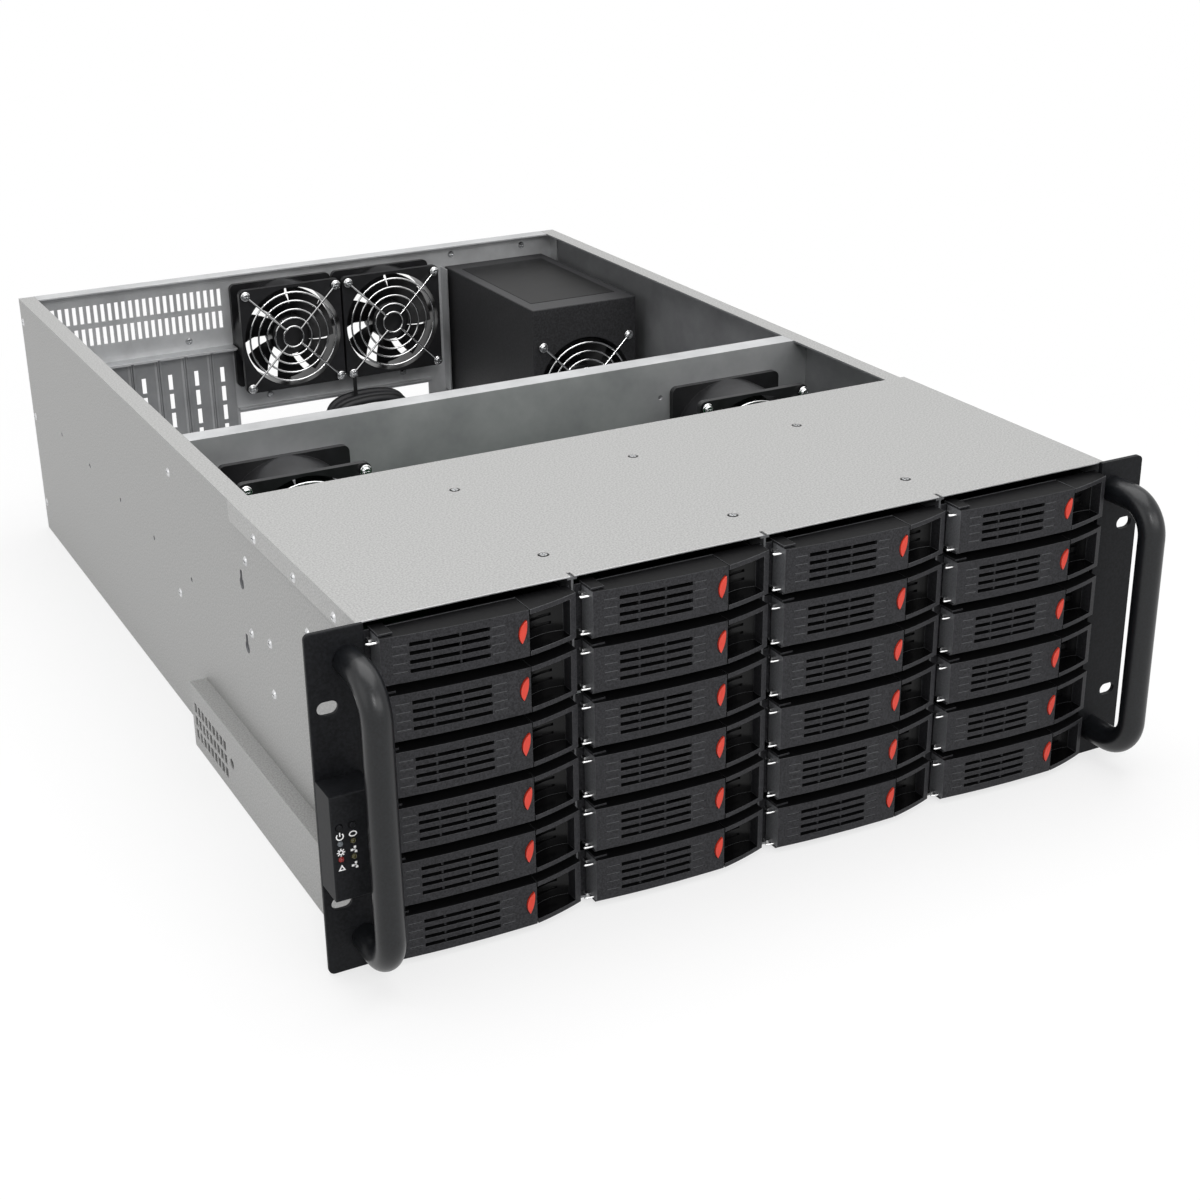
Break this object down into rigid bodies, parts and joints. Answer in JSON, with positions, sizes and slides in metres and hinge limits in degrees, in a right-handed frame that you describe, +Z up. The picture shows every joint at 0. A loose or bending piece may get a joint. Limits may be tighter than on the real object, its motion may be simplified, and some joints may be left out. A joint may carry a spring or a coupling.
{
  "type": "rackmount server case",
  "caption": "Rackmount server case with slide-in drive trays, rack ears with handles, a middle fan wall, rear fans, a power supply and a rear bay that is open on top",
  "frame": {"origin": "on the underside, below the middle of the whole outline including the handles", "axes": "+X to the right seen from the front, +Y from the front to the rear, +Z up"},
  "size_m": [0.4826, 0.7, 0.177],
  "materials": {
    "speckled_grey_sheet": "satin speckled grey coat",
    "zinc_sheet": "bare zinc-plated sheet",
    "black_powder_coat": "fine-textured black coat",
    "black_moulding": "textured black moulding",
    "fan_plastic": "smooth black moulding",
    "red_moulding": "red moulding",
    "chrome_wire": "bright plated wire",
    "screw_zinc": "zinc-plated screw",
    "psu_coat": "charcoal coat",
    "circuit_board": "green board",
    "lamp_lens": "moulded lens",
    "cable_sleeve": "black woven sleeve",
    "button_cap": "black button"
  },
  "bodies": {
    "case": {"chassis_tub": "speckled_grey_sheet", "drive_bay_cover": "speckled_grey_sheet", "side_channel": "speckled_grey_sheet", "mid_wall": "zinc_sheet", "rear_panel": "zinc_sheet", "slot_covers": "zinc_sheet", "drive_cage": "zinc_sheet", "left_ear": "black_powder_coat", "right_ear": "black_powder_coat", "left_handle": "black_powder_coat", "right_handle": "black_powder_coat", "control_box": "black_powder_coat", "indicator_lamps": "lamp_lens", "drive_backplane": "circuit_board", "rear_fan_frames": "fan_plastic", "mid_fan_frames": "fan_plastic", "fan_guards": "chrome_wire", "screws": "screw_zinc", "power_supply": "psu_coat", "psu_cable": "cable_sleeve", "cable_hank": "cable_sleeve"},
    "power_button": {"power_button": "button_cap"},
    "reset_button": {"reset_button": "button_cap"},
    "rear_left_rotor": {"rear_left_rotor": "fan_plastic"},
    "rear_right_rotor": {"rear_right_rotor": "fan_plastic"},
    "mid_left_rotor": {"mid_left_rotor": "fan_plastic"},
    "mid_right_rotor": {"mid_right_rotor": "fan_plastic"},
    "psu_rotor": {"psu_rotor": "fan_plastic"},
    "tray_a1": {"tray_a1": "black_moulding"},
    "tray_a2": {"tray_a2": "black_moulding"},
    "tray_a3": {"tray_a3": "black_moulding"},
    "tray_a4": {"tray_a4": "black_moulding"},
    "tray_a5": {"tray_a5": "black_moulding"},
    "tray_a6": {"tray_a6": "black_moulding"},
    "tray_b1": {"tray_b1": "black_moulding"},
    "tray_b2": {"tray_b2": "black_moulding"},
    "tray_b3": {"tray_b3": "black_moulding"},
    "tray_b4": {"tray_b4": "black_moulding"},
    "tray_b5": {"tray_b5": "black_moulding"},
    "tray_b6": {"tray_b6": "black_moulding"},
    "tray_c1": {"tray_c1": "black_moulding"},
    "tray_c2": {"tray_c2": "black_moulding"},
    "tray_c3": {"tray_c3": "black_moulding"},
    "tray_c4": {"tray_c4": "black_moulding"},
    "tray_c5": {"tray_c5": "black_moulding"},
    "tray_c6": {"tray_c6": "black_moulding"},
    "tray_d1": {"tray_d1": "black_moulding"},
    "tray_d2": {"tray_d2": "black_moulding"},
    "tray_d3": {"tray_d3": "black_moulding"},
    "tray_d4": {"tray_d4": "black_moulding"},
    "tray_d5": {"tray_d5": "black_moulding"},
    "tray_d6": {"tray_d6": "black_moulding"},
    "lever_a1": {"lever_a1": "black_moulding"},
    "lever_b1": {"lever_b1": "black_moulding"},
    "lever_c1": {"lever_c1": "black_moulding"},
    "lever_d1": {"lever_d1": "black_moulding"},
    "latch_a1": {"latch_a1": "red_moulding"},
    "latch_b1": {"latch_b1": "red_moulding"},
    "latch_c1": {"latch_c1": "red_moulding"},
    "latch_d1": {"latch_d1": "red_moulding"}
  },
  "joints": [
    {"name": "tray_a1_slide", "type": "slide", "parent": "case", "child": "tray_a1", "axis": [0, -1, 0], "range_m": [0, 0.16]},
    {"name": "tray_a2_slide", "type": "slide", "parent": "case", "child": "tray_a2", "axis": [0, -1, 0], "range_m": [0, 0.16]},
    {"name": "tray_a3_slide", "type": "slide", "parent": "case", "child": "tray_a3", "axis": [0, -1, 0], "range_m": [0, 0.16]},
    {"name": "tray_a4_slide", "type": "slide", "parent": "case", "child": "tray_a4", "axis": [0, -1, 0], "range_m": [0, 0.16]},
    {"name": "tray_a5_slide", "type": "slide", "parent": "case", "child": "tray_a5", "axis": [0, -1, 0], "range_m": [0, 0.16]},
    {"name": "tray_a6_slide", "type": "slide", "parent": "case", "child": "tray_a6", "axis": [0, -1, 0], "range_m": [0, 0.16]},
    {"name": "lever_a1_swing", "type": "hinge", "parent": "tray_a1", "child": "lever_a1", "pos_m": [-0.206, -0.3145, 0.16015], "axis": [0, 0, -1], "range_deg": [0, 70]},
    {"name": "latch_a1_press", "type": "slide", "parent": "lever_a1", "child": "latch_a1", "axis": [0, 1, 0], "range_m": [0, 0.0015], "stiffness_N_per_m": 500},
    {"name": "tray_b1_slide", "type": "slide", "parent": "case", "child": "tray_b1", "axis": [0, -1, 0], "range_m": [0, 0.16]},
    {"name": "tray_b2_slide", "type": "slide", "parent": "case", "child": "tray_b2", "axis": [0, -1, 0], "range_m": [0, 0.16]},
    {"name": "tray_b3_slide", "type": "slide", "parent": "case", "child": "tray_b3", "axis": [0, -1, 0], "range_m": [0, 0.16]},
    {"name": "tray_b4_slide", "type": "slide", "parent": "case", "child": "tray_b4", "axis": [0, -1, 0], "range_m": [0, 0.16]},
    {"name": "tray_b5_slide", "type": "slide", "parent": "case", "child": "tray_b5", "axis": [0, -1, 0], "range_m": [0, 0.16]},
    {"name": "tray_b6_slide", "type": "slide", "parent": "case", "child": "tray_b6", "axis": [0, -1, 0], "range_m": [0, 0.16]},
    {"name": "lever_b1_swing", "type": "hinge", "parent": "tray_b1", "child": "lever_b1", "pos_m": [-0.099, -0.3145, 0.16015], "axis": [0, 0, -1], "range_deg": [0, 70]},
    {"name": "latch_b1_press", "type": "slide", "parent": "lever_b1", "child": "latch_b1", "axis": [0, 1, 0], "range_m": [0, 0.0015], "stiffness_N_per_m": 500},
    {"name": "tray_c1_slide", "type": "slide", "parent": "case", "child": "tray_c1", "axis": [0, -1, 0], "range_m": [0, 0.16]},
    {"name": "tray_c2_slide", "type": "slide", "parent": "case", "child": "tray_c2", "axis": [0, -1, 0], "range_m": [0, 0.16]},
    {"name": "tray_c3_slide", "type": "slide", "parent": "case", "child": "tray_c3", "axis": [0, -1, 0], "range_m": [0, 0.16]},
    {"name": "tray_c4_slide", "type": "slide", "parent": "case", "child": "tray_c4", "axis": [0, -1, 0], "range_m": [0, 0.16]},
    {"name": "tray_c5_slide", "type": "slide", "parent": "case", "child": "tray_c5", "axis": [0, -1, 0], "range_m": [0, 0.16]},
    {"name": "tray_c6_slide", "type": "slide", "parent": "case", "child": "tray_c6", "axis": [0, -1, 0], "range_m": [0, 0.16]},
    {"name": "lever_c1_swing", "type": "hinge", "parent": "tray_c1", "child": "lever_c1", "pos_m": [0.008, -0.3145, 0.16015], "axis": [0, 0, -1], "range_deg": [0, 70]},
    {"name": "latch_c1_press", "type": "slide", "parent": "lever_c1", "child": "latch_c1", "axis": [0, 1, 0], "range_m": [0, 0.0015], "stiffness_N_per_m": 500},
    {"name": "tray_d1_slide", "type": "slide", "parent": "case", "child": "tray_d1", "axis": [0, -1, 0], "range_m": [0, 0.16]},
    {"name": "tray_d2_slide", "type": "slide", "parent": "case", "child": "tray_d2", "axis": [0, -1, 0], "range_m": [0, 0.16]},
    {"name": "tray_d3_slide", "type": "slide", "parent": "case", "child": "tray_d3", "axis": [0, -1, 0], "range_m": [0, 0.16]},
    {"name": "tray_d4_slide", "type": "slide", "parent": "case", "child": "tray_d4", "axis": [0, -1, 0], "range_m": [0, 0.16]},
    {"name": "tray_d5_slide", "type": "slide", "parent": "case", "child": "tray_d5", "axis": [0, -1, 0], "range_m": [0, 0.16]},
    {"name": "tray_d6_slide", "type": "slide", "parent": "case", "child": "tray_d6", "axis": [0, -1, 0], "range_m": [0, 0.16]},
    {"name": "lever_d1_swing", "type": "hinge", "parent": "tray_d1", "child": "lever_d1", "pos_m": [0.115, -0.3145, 0.16015], "axis": [0, 0, -1], "range_deg": [0, 70]},
    {"name": "latch_d1_press", "type": "slide", "parent": "lever_d1", "child": "latch_d1", "axis": [0, 1, 0], "range_m": [0, 0.0015], "stiffness_N_per_m": 500},
    {"name": "power_button_press", "type": "slide", "parent": "case", "child": "power_button", "axis": [0, 1, 0], "range_m": [0, 0.0015], "stiffness_N_per_m": 500},
    {"name": "reset_button_press", "type": "slide", "parent": "case", "child": "reset_button", "axis": [0, 1, 0], "range_m": [0, 0.0015], "stiffness_N_per_m": 500},
    {"name": "rear_left_rotor_spin", "type": "hinge", "parent": "case", "child": "rear_left_rotor", "pos_m": [-0.02, 0.3368, 0.1265], "axis": [0, 1, 0], "continuous": true},
    {"name": "rear_right_rotor_spin", "type": "hinge", "parent": "case", "child": "rear_right_rotor", "pos_m": [0.0616, 0.3368, 0.1265], "axis": [0, 1, 0], "continuous": true},
    {"name": "mid_left_rotor_spin", "type": "hinge", "parent": "case", "child": "mid_left_rotor", "pos_m": [-0.15, -0.035, 0.119], "axis": [0, 1, 0], "continuous": true},
    {"name": "mid_right_rotor_spin", "type": "hinge", "parent": "case", "child": "mid_right_rotor", "pos_m": [0.15, -0.035, 0.119], "axis": [0, 1, 0], "continuous": true},
    {"name": "psu_rotor_spin", "type": "hinge", "parent": "case", "child": "psu_rotor", "pos_m": [0.161, 0.2028, 0.094], "axis": [0, 1, 0], "continuous": true}
  ]
}
